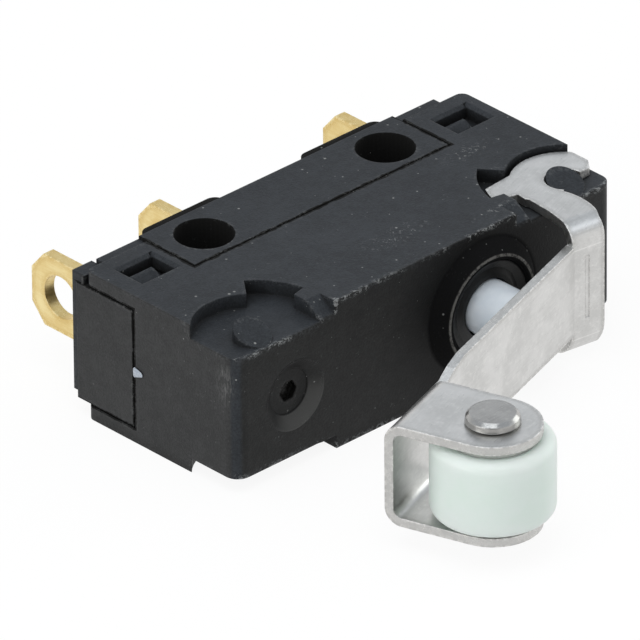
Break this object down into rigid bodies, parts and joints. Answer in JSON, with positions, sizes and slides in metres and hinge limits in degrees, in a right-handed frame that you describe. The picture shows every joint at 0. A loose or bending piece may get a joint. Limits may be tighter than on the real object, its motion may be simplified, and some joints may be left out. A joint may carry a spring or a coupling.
{
  "type": "lever micro switch",
  "caption": "Sealed snap-action switch in a small black case with solder terminals, a spring-returned plunger and a hinged sheet-metal lever that carries a roller.",
  "frame": {"origin": "midway between the two mounting holes, on the lower broad side of the case", "axes": "+X along the case towards the end the lever is hinged at, +Y towards the solder terminals, +Z along the mounting holes, out of the upper broad side"},
  "size_m": [0.02, 0.0249, 0.0064],
  "materials": {
    "black_plastic": "moulded black nylon, fine grain",
    "base_plastic": "moulded black nylon",
    "rubber_seal": "soft seal rubber",
    "gold_plate": "gold-plated copper alloy",
    "resin": "cured potting resin",
    "contact_silver": "silver alloy",
    "spring_copper": "beryllium copper strip",
    "spring_steel": "spring steel strip",
    "plunger_plastic": "pale blue-white acetal",
    "stainless": "stainless sheet",
    "pin_steel": "turned steel",
    "roller_plastic": "pale mint acetal",
    "sealant": "cured sealant"
  },
  "bodies": {
    "housing": {"case": "black_plastic", "base": "base_plastic", "case_gasket": "rubber_seal", "terminal_common": "gold_plate", "terminal_nc": "gold_plate", "terminal_no": "gold_plate", "terminal_seal_common": "resin", "terminal_seal_nc": "resin", "terminal_seal_no": "resin", "contact_nc": "contact_silver", "contact_no": "contact_silver", "plunger_seal": "rubber_seal", "seam_sealant": "sealant"},
    "plunger": {"plunger": "plunger_plastic"},
    "blade": {"moving_blade": "spring_copper", "moving_contact": "contact_silver"},
    "snap_spring": {"snap_spring": "spring_steel"},
    "lever": {"lever": "stainless", "roller_pin": "pin_steel"},
    "roller": {"roller": "roller_plastic"}
  },
  "joints": [
    {"name": "lever_pivot", "type": "hinge", "parent": "housing", "child": "lever", "pos_m": [0.0082, -0.0063, 0.0032], "axis": [0, 0, -1], "range_deg": [0, 10.15], "stiffness_Nm_per_rad": 0.02, "springref_deg": -11.46},
    {"name": "plunger_slide", "type": "slide", "parent": "housing", "child": "plunger", "axis": [0, 1, 0], "range_m": [0, 0.001]},
    {"name": "blade_tilt", "type": "hinge", "parent": "housing", "child": "blade", "pos_m": [-0.0076, -0.0044, 0.0032], "axis": [0, 0, 1], "range_deg": [0, 5.5]},
    {"name": "snap_spring_tilt", "type": "hinge", "parent": "housing", "child": "snap_spring", "pos_m": [-0.0045, -0.00305, 0.0032], "axis": [0, 0, 1], "range_deg": [0, 8.8]},
    {"name": "roller_spin", "type": "hinge", "parent": "lever", "child": "roller", "pos_m": [-0.00553, -0.01651, 0.0032], "axis": [0, 0, 1], "continuous": true}
  ],
  "couplings": [
    {"joint": "plunger_slide", "follows": "lever_pivot", "m_per_rad": 0.0056443},
    {"joint": "blade_tilt", "follows": "lever_pivot", "ratio": 0.54182},
    {"joint": "snap_spring_tilt", "follows": "lever_pivot", "ratio": 0.86691}
  ]
}
